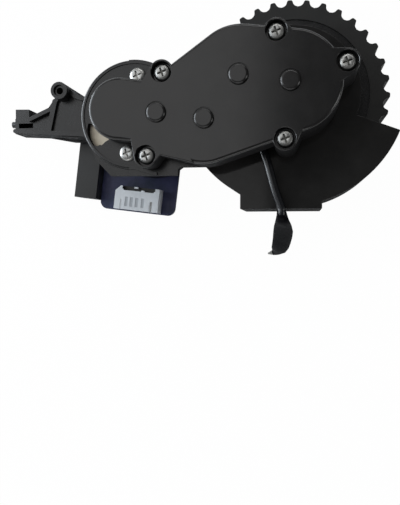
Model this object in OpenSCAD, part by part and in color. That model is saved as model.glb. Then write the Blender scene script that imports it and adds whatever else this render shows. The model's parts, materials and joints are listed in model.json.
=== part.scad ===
// Drive wheel module of a floor cleaning robot, left lying on the outer face of its wheel.
// The origin is the pivot bore of the swing arm, with z = 0 at the outer face of the tyre.

/* [Layout] */
// Wheel axle from the pivot bore along X
axle_x = 83.5; // [82:0.5:90]
// Wheel axle from the pivot bore along Y
axle_y = -4.4; // [-8:0.2:0]
// Direction from the wheel axle to the third gear pin
dir_gear_3 = 171; // [166:1:176]
// Direction from the third gear pin to the second
dir_gear_2 = 230.6; // [226:0.2:234]
// Direction from the second gear pin to the first
dir_gear_1 = 171.3; // [166:0.3:176]
// Direction from the first gear pin to the motor shaft
dir_motor = 174.2; // [168:0.2:180]

/* [Wheel] */
// Diameter over the lugs of the tyre
tyre_d = 66; // [65:0.5:68]
// Width of the tyre
tyre_w = 22; // [20:0.5:24]
// Number of lugs round the tyre
lug_count = 35; // [30:1:38]
// Radius of the round gap between two lugs
lug_gap_r = 2.05; // [1.8:0.05:2.3]
// Depth of the centre of that gap inside the tips of the lugs
lug_gap_in = 0.35; // [0:0.05:0.8]
// Angle of the first lug
lug_turn = 9; // [0:0.5:10]
// Shoulder chamfer of the tyre
shoulder = 1.6; // [1:0.1:2.2]
// Thickness of the rubber from the rim to the bottom of the lug gaps
rubber_t = 4.2; // [3:0.1:5]
// Thickness of the rim wall of the hub
rim_t = 2.2; // [1.6:0.1:3]
// Thickness of the hub web
web_t = 2.4; // [1.8:0.1:3.2]
// Number of spokes inside the hub
spokes = 8; // [6:1:10]
// Diameter of the steel wheel axle
axle_d = 6; // [5:0.1:6]

/* [Gear train] */
// Teeth of the motor pinion
pinion_m = 12; // [11:1:13]
// Teeth of the large wheel on the first gear
wheel_1 = 28; // [26:1:30]
// Teeth of the small wheel on the first gear
pinion_1 = 16; // [15:1:18]
// Teeth of the large wheel on the second gear
wheel_2 = 47; // [45:1:48]
// Teeth of the small wheel on the second gear
pinion_2 = 14; // [13:1:15]
// Teeth of the large wheel on the third gear
wheel_3 = 44; // [42:1:45]
// Teeth of the small wheel on the third gear
pinion_3 = 12; // [12:1:13]
// Teeth of the output gear on the wheel axle
wheel_out = 29; // [28:1:30]
// Module of the two fast stages
mod_fast = 0.5; // [0.48:0.01:0.52]
// Module of the third stage
mod_mid = 0.6; // [0.58:0.01:0.62]
// Module of the output stage
mod_slow = 0.8; // [0.78:0.01:0.82]
// Face width of the output stage
face_out = 4.6; // [4:0.1:6]
// Face width of the third stage
face_mid = 3.2; // [2.6:0.1:4]
// Face width of the second stage
face_fast = 2.4; // [2:0.1:3]
// Face width of the motor stage
face_motor = 1.7; // [1.5:0.1:2.4]
// Thickness taken off each tooth for free running
backlash = 0.07; // [0.05:0.01:0.1]
// Diameter of the gear pins
pin_d = 2; // [1.6:0.1:2.4]

/* [Gearbox] */
// Wall of the gearbox
wall = 1.5; // [1.2:0.1:1.8]
// Floor and roof of the gearbox
floor_t = 1.6; // [1.4:0.1:2.2]
// Room between a gear and the inside of the gearbox wall
gear_room = 0.8; // [0.6:0.1:1.2]
// Room between the output gear and the inside of the gearbox wall
out_room = 2.56; // [2.2:0.02:3]
// Thickness of the deck that carries the motor
deck_t = 2.4; // [2:0.1:3]
// Outer radius of the motor pocket and its rim
disc_r = 18.4; // [18.2:0.1:19]
// Height of the raised rim of the motor pocket
rim_h = 1; // [0.6:0.1:1.4]
// Radius of the cover over the motor shaft
nose_r = 10.2; // [9.6:0.1:10.6]
// How far the end of the cover reaches past the motor shaft
nose_past = 2.85; // [2:0.05:3.2]
// Radius of the cover over the first gear
shoulder_1_r = 9.8; // [9.4:0.1:10.4]
// Radius of the screw lobes
lobe_r = 3.9; // [3.7:0.1:4.2]
// Radius of the raised pockets over the pins
cap_r = 3.2; // [2.6:0.1:3.6]
// Height of the raised pockets over the pins
cap_h = 1; // [0.6:0.1:1.4]
// Radius of a cover screw head
head_r = 2.75; // [2.4:0.05:2.8]
// Height of a cover screw head
head_h = 1.7; // [1.3:0.1:2]

/* [Motor] */
// Diameter of the motor can
can_d = 33; // [31:0.2:33.2]
// Length of the motor can
can_l = 22; // [19:0.5:23]
// Distance between the two motor screws
motor_screws_apart = 26; // [24:0.2:26.4]
// Direction of the line through the motor screws
motor_turn = 82; // [76:1:88]
// Diameter of the motor shaft
shaft_d = 2; // [1.8:0.1:2.4]

/* [Board] */
// Width of the encoder board
board_w = 30.3; // [29:0.1:32]
// Reach of the board below the motor shaft
board_down = 32.3; // [31:0.1:34]
// Reach of the board above the motor shaft
board_up = 12; // [11:0.5:14]
// Right edge of the board from the motor shaft
board_right = 11.4; // [11:0.1:12]
// Turn of the board and its end cover
board_turn = -7; // [-9:1:-5]
// Thickness of the board
board_t = 1.6; // [1.2:0.1:2]
// Room between the face of the board and the end of the motor
board_room = 4.4; // [4:0.1:5]
// Number of ways of the connector
ways = 6; // [5:1:6]
// Pitch of the connector
pitch = 2.5; // [2.4:0.1:2.5]

/* [Wheel guard] */
// Room between the lugs and the inside of the guard
guard_room = 3.6; // [3:0.1:4.5]
// Wall of the wheel guard
guard_t = 1.8; // [1.4:0.1:2]
// Thickness of the side plate of the guard
plate_t = 2.2; // [1.8:0.1:2.6]
// Room between the tyre and the side plate
plate_gap = 2.2; // [1.6:0.1:3]
// Height of the lower edge of the guard over the table
guard_z = 2; // [1.5:0.1:4]
// Angle at which the guard starts, left of the wheel
guard_from = 218.5; // [215:0.5:222]
// Angle at which the guard ends, right of the wheel
guard_to = 339; // [335:0.5:342]
// Radius of the side plate of the guard over the wheel
plate_r = 23.1; // [21:0.1:24]
// Width of the flat pad under the guard
pad_w = 27.9; // [26:0.1:30]
// Reach of the pad below the guard
pad_out = 1.2; // [0.6:0.1:2]

/* [Swing arm] */
// Radius of the pivot boss
boss_r = 3.1; // [2.9:0.1:3.6]
// Length of the pivot bore
boss_l = 26; // [22:0.5:28]
// Radius of the pivot bore
bore_r = 1.25; // [1:0.05:1.3]
// Radius of the spring peg
peg_r = 1.2; // [1:0.1:1.4]
// Reach of the spring peg out of the arm
peg_l = 2.6; // [2:0.1:4]
// Depth of the floor of the arm
arm_floor_t = 3; // [2:0.2:4]
// Drop from the motor deck to the top of the arm
arm_drop = 11; // [9:0.5:13]
// Rib and wall thickness of the arm
rib_t = 1.5; // [1.2:0.1:2]

/* [Lead] */
// Diameter of the lead
lead_d = 2.9; // [2.6:0.1:3]

/* [Hidden] */

$fn = 64;
e = 0.05; // overshoot of a cut past a face
fit = 0.03; // radial clearance of a seated pin or ring
run = 0.05; // radial clearance of a running fit
gap = 0.3; // clearance between faces that pass each other
tuck = 0.02; // how far a web starts inside the circles that it joins

gear_lift = 0.6; // from the floor of the gearbox to the output gear
step_mid = 1; // from the output gear to the third stage
step_fast = 0.5; // from the third stage to the second
step_motor = 0.4; // from the second stage to the motor stage
roof_room = 0.4; // from the motor stage to the roof
split_drop = 1.5; // from the second stage down to the split of the gearbox
seat_drop = 2.4; // from the top of the cover down to the screw seats
seat_t = 1.2; // thickness of a screw seat
low_2_drop = 1.4; // from the third stage down to the floor under the second gear
pin_cover = 1.2; // from the top of a pocket down to the end of its pin

// heights, from the table up
plate_z = tyre_w + plate_gap;
floor_z = plate_z + plate_t;
inside_z = floor_z + floor_t;
level_out = inside_z + gear_lift;
level_mid = level_out + face_out + step_mid;
level_fast = level_mid + face_mid + step_fast;
level_motor = level_fast + face_fast + step_motor;
roof_z = level_motor + face_motor + roof_room;
top_z = roof_z + floor_t;
split_z = level_fast - split_drop;
deck_z = split_z - deck_t;
seat_z = top_z - seat_drop;
post_z = seat_z - seat_t;
pin_end_z = top_z + cap_h - pin_cover;
low_2_z = level_mid - low_2_drop;
pin_2_z = low_2_z - 1.1;

// heights, from the motor down
can_z = deck_z - can_l;
bell_h = 3;
bell_z = can_z - bell_h;
bell_top = can_z + 2.5;
board_top = bell_z - board_room;
board_z = board_top - board_t;
magnet_lift = 0.9;
magnet_room = 1.7;
magnet_z = board_top + magnet_lift;
magnet_h = bell_z - magnet_room - magnet_z;

// gear centres
function polar(r, a) = [r * cos(a), r * sin(a)];
function spread(m, a, b) = m * (a + b) / 2;
at_wheel = [axle_x, axle_y];
at_3 = at_wheel + polar(spread(mod_slow, wheel_out, pinion_3), dir_gear_3);
at_2 = at_3 + polar(spread(mod_mid, wheel_3, pinion_2), dir_gear_2);
at_1 = at_2 + polar(spread(mod_fast, wheel_2, pinion_1), dir_gear_1);
at_motor = at_1 + polar(spread(mod_fast, wheel_1, pinion_m), dir_motor);

// radii of the gearbox round each centre
wheel_add = 0.8;
pinion_add = 1;
tooth_root = 1.25;
function tip_r(m, n, add) = m * (n / 2 + add);
bay_out = tip_r(mod_slow, wheel_out, wheel_add) + out_room;
out_wall_r = bay_out + wall;
bay_3 = tip_r(mod_mid, wheel_3, wheel_add) + gear_room;
bay_2 = tip_r(mod_fast, wheel_2, wheel_add) + gear_room;
bay_low_2 = tip_r(mod_mid, pinion_2, pinion_add) + gear_room;

// screw places: four lobes round the wheel and the motor, in polar steps from their centres
screw_at = [
    at_motor + polar(16.7, 46),
    at_motor + polar(16, 293),
    at_wheel + polar(out_wall_r + 0.03, 106),
    at_wheel + polar(out_wall_r + 1.8, 17),
    at_wheel + polar(out_wall_r + 1.57, 264.9)];
motor_screw_at = [for (s = [-1, 1]) polar(s * motor_screws_apart / 2, motor_turn)];
post_r = 2.6;
pilot_r = 1.1;
screw_r = 1.05;
head_room = 0.65;
seat_boss_r = lobe_r - 0.1;
pin_boss_r = pin_d / 2 + 1.4;
pin_in = 0.5; // depth of the blind end of a pin seat over the face under it

// wheel
rim_r = tyre_d / 2 - lug_gap_r - lug_gap_in - rubber_t;
rim_inside = rim_r - rim_t;
hub_boss_r = 7;
spoke_t = 2;
ring_rib_t = 1.4;
ring_rib_r = (hub_boss_r + rim_inside) / 2;
spoke_top = tyre_w - 1.6;
axle_r = axle_d / 2;
journal_r = 2;
bush_t = 1.5;
bush_wall = 2;
bush_boss_r = axle_r + bush_t + bush_wall;
bush_boss_z = tyre_w + 0.6;
hub_face_z = 2.6;
cap_skirt_r = 5.6;
cap_t = 1.4;
spoke_z = hub_face_z + web_t - e;
washer_z = hub_face_z + 2.8;
washer_t = 0.6;
axle_low_z = washer_z + washer_t + 0.2;
flat_h = 9;
flat_in = 0.6;

module at(p, z = 0) {
    translate([p[0], p[1], z]) children();
}

module disc(r, z, h, p = [0, 0]) {
    at(p, z) cylinder(r = r, h = h);
}

module ring(r_out, r_in, z, h, p = [0, 0]) {
    difference() {
        disc(r_out, z, h, p);
        disc(r_in, z - e, h + 2 * e, p);
    }
}

// straight-sided web whose edges are the outer tangents of two circles
module web(p, rp, q, rq) {
    d = q - p;
    a = atan2(d[1], d[0]);
    b = acos((rp - rq) / norm(d));
    polygon([
        p + polar(rp - tuck, a + b), p + polar(rp - tuck, a - b),
        q + polar(rq - tuck, a - b), q + polar(rq - tuck, a + b)]);
}

// two circles joined by their web
module link(p, rp, q, rq) {
    translate(p) circle(r = rp);
    translate(q) circle(r = rq);
    web(p, rp, q, rq);
}

// outline of the gear bays, drawn in by a wall where it is the inside
nose_up = 0.7;
module bays(in = 0) {
    r_out = bay_out + wall - in;
    r_3 = bay_3 + wall - in;
    r_2 = bay_2 + wall - in;
    r_1 = shoulder_1_r - in;
    r_m = nose_r - in;
    nose = at_motor + [-nose_past, nose_up];
    link(at_wheel, r_out, at_3, r_3);
    link(at_3, r_3, at_2, r_2);
    link(at_2, r_2, at_1, r_1);
    link(at_1, r_1, nose, r_m);
    web(at_wheel, r_out, at_2, r_2);
    web(at_3, r_3, at_1, r_1);
}

module screw_lobes() {
    link(screw_at[0], lobe_r, at_1, shoulder_1_r);
    link(screw_at[1], lobe_r, at_1, shoulder_1_r);
    wheel_lobes();
}

module cover_outline() {
    bays();
    screw_lobes();
}

// deep part of the gearbox, below the deck
module tub_outline(in = 0) {
    r_out = bay_out + wall - in;
    r_3 = bay_3 + wall - in;
    link(at_wheel, r_out, at_3, r_3);
}

// tooth flanks are involute points at the root, the pitch circle and the tip
function inv(a) = tan(a) * 180 / PI - a;
function half_tooth(m, n, r) =
    let (rp = m * n / 2, rb = rp * cos(20), a = acos(min(1, rb / max(r, rb))))
    (m * PI / 2 - backlash) / 2 / rp * 180 / PI + inv(20) - inv(a);
function gear_points(m, n, add, phase) =
    let (rp = m * n / 2, ra = rp + add * m, rr = rp - tooth_root * m, rm = rp + add * m / 2)
    [for (i = [0 : n - 1], k = [[rr, -1], [rp, -1], [rm, -1], [ra, -1], [ra, 1], [rm, 1], [rp, 1], [rr, 1]])
        polar(k[0], phase + i * 360 / n + k[1] * half_tooth(m, n, k[0]))];

module teeth(m, n, add, phase, z, h) {
    translate([0, 0, z]) linear_extrude(h) polygon(gear_points(m, n, add, phase));
}

// a driving pinion has a tooth on the line of centres, the wheel that it drives has a gap there
module pinion(m, n, dir, z, h) {
    teeth(m, n, pinion_add, dir, z, h);
}

module big_wheel(m, n, dir, z, h) {
    teeth(m, n, wheel_add, dir + 180 / n, z, h);
}

// GEARBOX
module gearbox_base() {
    color([0.13, 0.13, 0.14]) difference() {
        union() {
            translate([0, 0, deck_z]) linear_extrude(deck_t) {
                cover_outline();
                deck_corner();
            }
            translate([0, 0, floor_z]) linear_extrude(deck_z - floor_z + e) {
                tub_outline();
                wheel_lobes();
            }
            translate([0, 0, low_2_z - floor_t]) linear_extrude(deck_z - low_2_z + floor_t + e)
                link(at_2, bay_low_2 + wall, at_3, bay_low_2 + wall);
            disc(disc_r, can_z, split_z + rim_h - can_z, at_motor);
            disc(bush_boss_r, bush_boss_z, inside_z - bush_boss_z, at_wheel);
            for (p = screw_at) disc(post_r, split_z - e, post_z - split_z + e, p);
            disc(pin_boss_r, split_z - e, level_fast - gap - split_z + e, at_1);
            corner_rib();
            swing_arm();
        }
        // bays of the gears, with a boss left standing under each gear
        difference() {
            translate([0, 0, inside_z]) linear_extrude(split_z - inside_z + e) tub_outline(wall);
            disc(pin_boss_r, inside_z - e, level_out - gap - inside_z + e, at_3);
        }
        difference() {
            translate([0, 0, low_2_z]) linear_extrude(split_z - low_2_z + e)
                link(at_2, bay_low_2, at_3, bay_low_2);
            disc(pin_boss_r, low_2_z - e, level_mid - gap - low_2_z + e, at_2);
            disc(pin_boss_r, low_2_z - e, e / 2, at_3);
        }
        // motor pocket and the floor of its rim
        disc(can_d / 2 + 0.1, can_z - e, can_l + e, at_motor);
        difference() {
            disc(disc_r - rim_wall, split_z, rim_h + e, at_motor);
            for (p = screw_at) disc(post_r, split_z - e, post_z - split_z, p);
            disc(pin_boss_r, split_z - e, level_fast - gap - split_z, at_1);
        }
        translate([0, 0, split_z]) linear_extrude(rim_h + e) difference() {
            cover_outline();
            for (p = screw_at) translate(p) circle(r = post_r);
            translate(at_1) circle(r = pin_boss_r);
        }
        disc(nose_hole_r, deck_z - e, deck_t + 2 * e, at_motor);
        for (p = motor_screw_at) disc(1.6, deck_z - e, deck_t + 2 * e, at_motor + p);
        motor_window();
        // pin seats, bush seat and screw pilots
        disc(pin_d / 2 + fit, deck_z + pin_in, level_fast - deck_z, at_1);
        disc(pin_d / 2 + fit, pin_2_z, level_mid - pin_2_z, at_2);
        disc(pin_d / 2 + fit, floor_z + pin_in, level_out - floor_z, at_3);
        disc(axle_r + bush_t + fit, bush_boss_z + 1, inside_z - bush_boss_z, at_wheel);
        disc(axle_r + 0.4, bush_boss_z - e, 2, at_wheel);
        for (p = screw_at) disc(pilot_r, deck_z + 0.6, post_z - deck_z, p);
        for (i = [2 : 4]) disc(pilot_r, floor_z - e, 5, screw_at[i]);
        disc(bore_r, -e, boss_l + 2 * e);
        disc(bore_r + 0.8, boss_l - 1, 1 + e);
        lead_outlet();
    }
}

// lobes of the three screws round the wheel axle
module wheel_lobes() {
    for (i = [2 : 4]) link(screw_at[i], lobe_r, at_wheel, 10);
}

// corner of the deck that bridges the motor pocket and the second gear bay, from the motor shaft
rim_wall = 1.2;
motor_head_r = 2.7;
motor_head_h = 1.5;
nose_hole_r = 5.1;
corner_left = [-12.84, -15.3];
corner_low_left = [-7.94, -20.4];
corner_low_right = [15.46, -20.6];
corner_round = 0.9;
module deck_corner() {
    low_2 = at_2 - at_motor - [0, bay_2 + wall - tuck];
    right = corner_low_right[0];
    translate(at_motor) circle(r = disc_r);
    translate(at_motor) polygon([[0, 0], polar(disc_r - tuck, 205), corner_left, corner_low_left, corner_low_right,
        [right, low_2[1] - corner_round], [right + corner_round * 0.3, low_2[1] - corner_round * 0.3],
        [right + corner_round, low_2[1]], low_2, at_2 - at_motor]);
}

// raised edge between the rim of the motor pocket and the corner
module corner_rib() {
    translate([at_motor[0], at_motor[1], split_z - e]) linear_extrude(rim_h + e)
        rib([1.7, -disc_r + 0.3], [7.9, -20], rim_wall);
}

// window in the motor deck that shows the face of the motor
window_in = 11;
window_out = 15.2;
window_from = 190;
window_to = 222;
module motor_window() {
    mid = (window_from + window_to) / 2;
    at(at_motor, deck_z - e) linear_extrude(deck_t + 2 * e) intersection() {
        difference() {
            circle(r = window_out);
            circle(r = window_in);
        }
        polygon([[0, 0], polar(window_out * 1.3, window_from), polar(window_out * 1.3, mid),
            polar(window_out * 1.3, window_to)]);
    }
}

// slot at the foot of the gearbox wall beside the lower screw, where the lead comes out
module lead_outlet() {
    at(lead_out, floor_z - e) rotate([0, 0, lead_dir]) translate([-lead_inside, -lead_d / 2 - 0.1, 0])
        cube([lead_inside + 4, lead_d + 0.2, lead_d + gap + e]);
}

// swing arm between the motor pocket and the pivot, with a block and a peg for the spring
arm_z = can_z;
arm_floor = arm_z + arm_floor_t;
arm_top = deck_z - arm_drop;
block_top = arm_top - 2;
block_l = -19.4;
block_r = -10.2;
block_low = -14.4;
block_high = -8.8;
slot_w = 5.7;
slot_h = 1.8;
slot_deep = 3;
tab_l = -18.9;
tab_r = -14.2;
tab_high = -5.9;
tab_drop = 1.5;
peg_y = -10.4;
peg_z = (arm_z + arm_top) / 2;
arm_end = at_motor[0] - disc_r + 3;
arm_low = at_motor[1] - 5.7;
arm_high = at_motor[1] + 9.7;
arm_elbow = [4.9, -1.5];
arm_bend = [7.4, -2.5];

// wall with round ends between two points
module rib(p, q, t = rib_t) {
    link(p, t / 2, q, t / 2.02);
}

module arm_outline() {
    polygon([[block_l, block_low], [block_l, block_high], [-12.6, -8.9], [-4.9, -5.4], [-3.9, -3], [-2.7, 0.5],
        [2.3, 1.6], [4.6, -0.7], [7.2, -1.8], [arm_end, arm_high], [arm_end, arm_low], [1, -16.9], [-9, -15]]);
}

module arm_ribs() {
    rib([block_l + 0.8, block_low + 0.75], [arm_end - 0.3, arm_low + 1.4]);
    rib([-2.9, -3.2], [-5.4, -14.4], rib_t + 0.3);
    rib([-12.9, -9.5], [-4.9, -6.1]);
    rib([-4.6, -5.8], [-1.5, -1.5]);
    rib([2, 0.9], arm_elbow);
    rib(arm_elbow, arm_bend);
    rib(arm_bend, [arm_end - 0.3, arm_high - 0.8]);
}

module swing_arm() {
    disc(boss_r, 0, boss_l);
    translate([0, 0, arm_z]) linear_extrude(arm_floor_t) arm_outline();
    translate([0, 0, arm_floor - e]) linear_extrude(arm_top - arm_floor + e) arm_ribs();
    translate([0, 0, arm_floor - e]) linear_extrude(arm_top - 3 - arm_floor) rib([0, -8], [0.9, -15]);
    translate([0, 0, arm_floor - e]) linear_extrude(arm_top - 2 - arm_floor) rib([5, -2.2], [6.2, -15.6]);
    translate([block_l, block_low, arm_z]) difference() {
        cube([block_r - block_l, block_high - block_low, block_top - arm_z]);
        translate([1.4, 2, block_top - slot_deep - arm_z]) cube([slot_w, slot_h, slot_deep + e]);
    }
    translate([tab_l, block_high - e, arm_z]) cube([tab_r - tab_l, tab_high - block_high + e, block_top - tab_drop - arm_z]);
    translate([block_l + e, peg_y, peg_z]) rotate([0, -90, 0]) cylinder(r = peg_r, h = peg_l + e);
}

module gearbox_cover() {
    color([0.2, 0.2, 0.21]) difference() {
        union() {
            translate([0, 0, split_z]) linear_extrude(top_z - split_z) cover_outline();
            for (p = [at_1, at_2, at_3, at_wheel]) disc(cap_r, top_z - e, cap_h + e, p);
        }
        // inside of the cover, with the seats of the screws left standing
        difference() {
            translate([0, 0, split_z - e]) linear_extrude(roof_z - split_z + e) bays(wall);
            for (p = screw_at) disc(seat_boss_r, post_z, roof_z - post_z + e, p);
        }
        for (p = screw_at) {
            disc(post_r + 0.1, split_z - e, post_z - split_z + e, p);
            disc(1.5, post_z - e, seat_t + 2 * e, p);
            disc(head_r + head_room, seat_z, seat_drop + e, p);
        }
        // room under the edge of the cover for the heads of the motor screws
        for (p = motor_screw_at)
            disc(motor_head_r + gap, split_z - e, motor_head_h + gap + e, at_motor + p);
        for (p = [at_1, at_2, at_3]) disc(pin_d / 2 + fit, roof_z - e, pin_end_z - roof_z + 0.2 + e, p);
        disc(journal_r + 1 + fit, roof_z - e, 1.8, at_wheel);
    }
}

module cover_screws() {
    color("silver") for (p = screw_at) pan_screw(p, seat_z, head_r, head_h, screw_r, seat_z - deck_z - 1.2);
}

// pan head screw with a cross recess, pointing down from its seat
module pan_screw(p, z, r, h, shank_r, l) {
    at(p, z) difference() {
        union() {
            rotate_extrude() polygon([[0, 0], [r, 0], [r, h * 0.45], [r * 0.86, h * 0.8], [r * 0.55, h], [0, h]]);
            translate([0, 0, -l]) cylinder(r = shank_r, h = l + e);
        }
        for (a = [0, 90]) rotate([0, 0, a + 20]) translate([-r * 0.55, -r * 0.11, h * 0.4])
            cube([r * 1.1, r * 0.22, h]);
    }
}

module gear_pins() {
    color("lightsteelblue") {
        disc(pin_d / 2, deck_z + pin_in, pin_end_z - deck_z - pin_in, at_1);
        disc(pin_d / 2, pin_2_z, pin_end_z - pin_2_z, at_2);
        disc(pin_d / 2, floor_z + pin_in, pin_end_z - floor_z - pin_in, at_3);
    }
}

// GEARS
module compound(p, m_wheel, n_wheel, dir_wheel, z_wheel, h_wheel, m_pin, n_pin, dir_pin, z_pin) {
    at(p) difference() {
        union() {
            big_wheel(m_wheel, n_wheel, dir_wheel, z_wheel, h_wheel);
            pinion(m_pin, n_pin, dir_pin, z_pin, z_wheel - z_pin + e);
        }
        disc(pin_d / 2 + run, z_pin - e, z_wheel + h_wheel - z_pin + 2 * e);
    }
}

module compound_gear_1() {
    color("ivory") compound(at_1, mod_fast, wheel_1, dir_motor, level_motor, face_motor,
        mod_fast, pinion_1, dir_gear_1 + 180, level_fast);
}

module compound_gear_2() {
    color("ivory") compound(at_2, mod_fast, wheel_2, dir_gear_1, level_fast, face_fast,
        mod_mid, pinion_2, dir_gear_2 + 180, level_mid);
}

module compound_gear_3() {
    color("ivory") compound(at_3, mod_mid, wheel_3, dir_gear_2, level_mid, face_mid,
        mod_slow, pinion_3, dir_gear_3 + 180, level_out);
}

module output_gear() {
    color("ivory") at(at_wheel) difference() {
        big_wheel(mod_slow, wheel_out, dir_gear_3, level_out, face_out);
        translate([0, 0, level_out - e]) linear_extrude(face_out + 2 * e) flat_shaft(axle_r + fit);
        ring_cut();
    }
}

// shallow ring recess between the teeth and the boss of the output gear
module ring_cut() {
    ring(tip_r(mod_slow, wheel_out, wheel_add) - 4, axle_r + 2.4, level_out + face_out - 1.2, 2);
}

// round shaft with one flat
module flat_shaft(r) {
    difference() {
        circle(r = r);
        translate([r - flat_in, -r]) square([r, 2 * r]);
    }
}

module output_axle() {
    color("silver") at(at_wheel) difference() {
        union() {
            disc(axle_r, axle_low_z, level_mid - 0.2 - axle_low_z);
            disc(journal_r, level_mid - 0.2 - e, roof_z + 1.4 - level_mid + 0.2);
        }
        // flats for the hub and for the output gear, thread hole and clip groove
        translate([0, 0, axle_low_z - e]) linear_extrude(flat_h) axle_flat();
        translate([0, 0, level_out - 0.1]) linear_extrude(face_out + 3) axle_flat();
        disc(screw_r, axle_low_z - e, 8);
        ring(axle_r + 1, groove_r, clip_z - 0.05, clip_t + 0.1);
    }
}

module axle_flat() {
    translate([axle_r - flat_in, -axle_r]) square([axle_r, 2 * axle_r]);
}

clip_t = 0.5;
clip_z = level_out + face_out + 0.05;
groove_r = axle_r - 0.6;
module axle_clip() {
    color("dimgray") at(at_wheel, clip_z) difference() {
        cylinder(r = axle_r + 1.4, h = clip_t);
        translate([0, 0, -e]) cylinder(r = groove_r + fit, h = clip_t + 2 * e);
        translate([-1.7, -axle_r - 2, -e]) cube([3.4, axle_r + 2, clip_t + 2 * e]);
    }
}

module axle_bush() {
    color("peru") ring(axle_r + bush_t, axle_r + run, bush_boss_z + 1, inside_z - bush_boss_z - 1, at_wheel);
}

module cover_bush() {
    color("peru") ring(journal_r + 1, journal_r + run, roof_z, 1.7, at_wheel);
}

// MOTOR
module motor_can() {
    color("silver") at(at_motor) difference() {
        union() {
            disc(can_d / 2, can_z, can_l);
            disc(5, deck_z - e, 1.8);
        }
        disc(can_d / 2 - 1, can_z - e, can_l - 1.2 + e);
        disc(bush_r + fit, deck_z - 2.5, 5);
        for (p = motor_screw_at) disc(1.3, deck_z - 3, 5, p);
    }
}

bush_r = 3;
module motor_bushes() {
    color("peru") {
        ring(bush_r, shaft_d / 2 + run, deck_z - 2, 3.6, at_motor);
        ring(bush_r, shaft_d / 2 + run, bell_z + 0.6, 3, at_motor);
    }
}

// two arc magnets that line the can, and the armature that turns between them
magnet_in = 11.6;
armature_r = magnet_in - 0.6;
armature_z = bell_top + 1.5;
armature_h = can_l - 9;
module motor_magnets() {
    color("dimgray") at(at_motor) difference() {
        ring(can_d / 2 - 1 - fit, magnet_in, bell_top, can_l - 6);
        rotate([0, 0, motor_turn - 90]) translate([-2.5, -can_d, can_z]) cube([5, 2 * can_d, can_l]);
    }
}

module motor_screws() {
    color("silver") for (p = motor_screw_at)
        pan_screw(at_motor + p, split_z, motor_head_r, motor_head_h, 1.25, deck_t + 1.8);
}

module motor_end_bell() {
    color("whitesmoke") at(at_motor) difference() {
        union() {
            disc(can_d / 2 - 1 - fit, bell_z + 1, bell_top - bell_z - 1);
            disc(can_d / 2, bell_z, bell_h);
        }
        disc(shaft_d / 2 + 0.3, bell_z - e, 10);
        disc(bush_r + fit, bell_z + 0.6, 10);
        for (s = [-1, 1]) at(polar(s * 9, 0), bell_z - e) translate([-0.45, -1.3, 0]) cube([0.9, 2.6, 10]);
    }
}

module motor_terminals() {
    color("gold") at(at_motor) for (s = [-1, 1]) at(polar(s * 9, 0), board_z - 0.8)
        translate([-0.4, -1.2, 0]) cube([0.8, 2.4, can_z + 1 - board_z]);
}

module motor_shaft() {
    color("silver") disc(shaft_d / 2, magnet_z, roof_z - gap - magnet_z, at_motor);
}

module encoder_magnet() {
    color("dimgray") ring(4, shaft_d / 2 + fit, magnet_z, magnet_h, at_motor);
}

module motor_armature() {
    color("darkgoldenrod") at(at_motor) {
        difference() {
            union() {
                for (a = [0, 120, 240]) rotate([0, 0, a]) translate([0, 0, armature_z]) {
                    translate([0, -2, 0]) cube([9, 4, armature_h]);
                    intersection() {
                        cylinder(r = armature_r, h = armature_h);
                        translate([8, -7.5, 0]) cube([4, 15, armature_h]);
                    }
                }
                disc(4, bell_top + 0.7, armature_h + 1.8);
            }
            disc(shaft_d / 2 + fit, can_z, can_l);
        }
    }
}

module motor_pinion() {
    color("goldenrod") at(at_motor) difference() {
        union() {
            pinion(mod_fast, pinion_m, dir_motor + 180, level_motor, face_motor);
            disc(2.1, level_motor - 1.6, 1.6 + e);
        }
        disc(shaft_d / 2 + fit, level_motor - 2, 8);
    }
}

// BOARD
module board_place(z = 0) {
    at(at_motor, z) rotate([0, 0, board_turn]) children();
}

module board_shape() {
    r = 3;
    x0 = board_right - board_w;
    for (x = [x0 + r, board_right - r], y = [r - board_down, board_up - r]) translate([x, y]) circle(r = r);
    translate([x0 + r, -board_down]) square([board_w - 2 * r, board_down + board_up]);
    translate([x0, r - board_down]) square([board_w, board_down + board_up - 2 * r]);
}

board_posts = [polar(15.6, 150), polar(15.6, 302)];
post_h = board_room - gap;
post_end = 0.6;
module encoder_board() {
    color([0.1, 0.1, 0.3]) board_place(board_z) difference() {
        linear_extrude(board_t) board_shape();
        for (s = [-1, 1]) translate([s * 9 * cos(board_turn), -s * 9 * sin(board_turn), -e])
            rotate([0, 0, -board_turn]) translate([-0.6, -1.4, 0]) cube([1.2, 2.8, 4]);
        for (p = board_posts) disc(1.1, -e, 4, p);
        for (i = [0 : ways - 1]) disc(0.5, -e, 4, [conn_mid + way(i), conn_back - leg_in]);
    }
}

module board_screws() {
    color("silver") board_place() for (p = board_posts) translate([p[0], p[1], board_z])
        rotate([180, 0, 0]) pan_screw([0, 0], 0, 1.8, 1, 0.95, board_t + post_h - 2 * post_end);
}

module hall_sensor() {
    color([0.08, 0.08, 0.08]) board_place(board_top) translate([-1.6, -8.2, 0]) cube([3.2, 2.6, 1.2]);
}

conn_w = (ways - 1) * pitch + 4.9;
conn_mid = -2.7;
conn_h = 6;
conn_d = 9;
conn_cut = 2;
conn_wall = 0.8;
conn_deep = 6.5;
conn_back = -board_down + conn_d + 0.5;
pin_w = 0.6;
leg_in = 1.15;
leg_z = max(e, board_z - 0.8);
function way(i) = (i - (ways - 1) / 2) * pitch;

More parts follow.
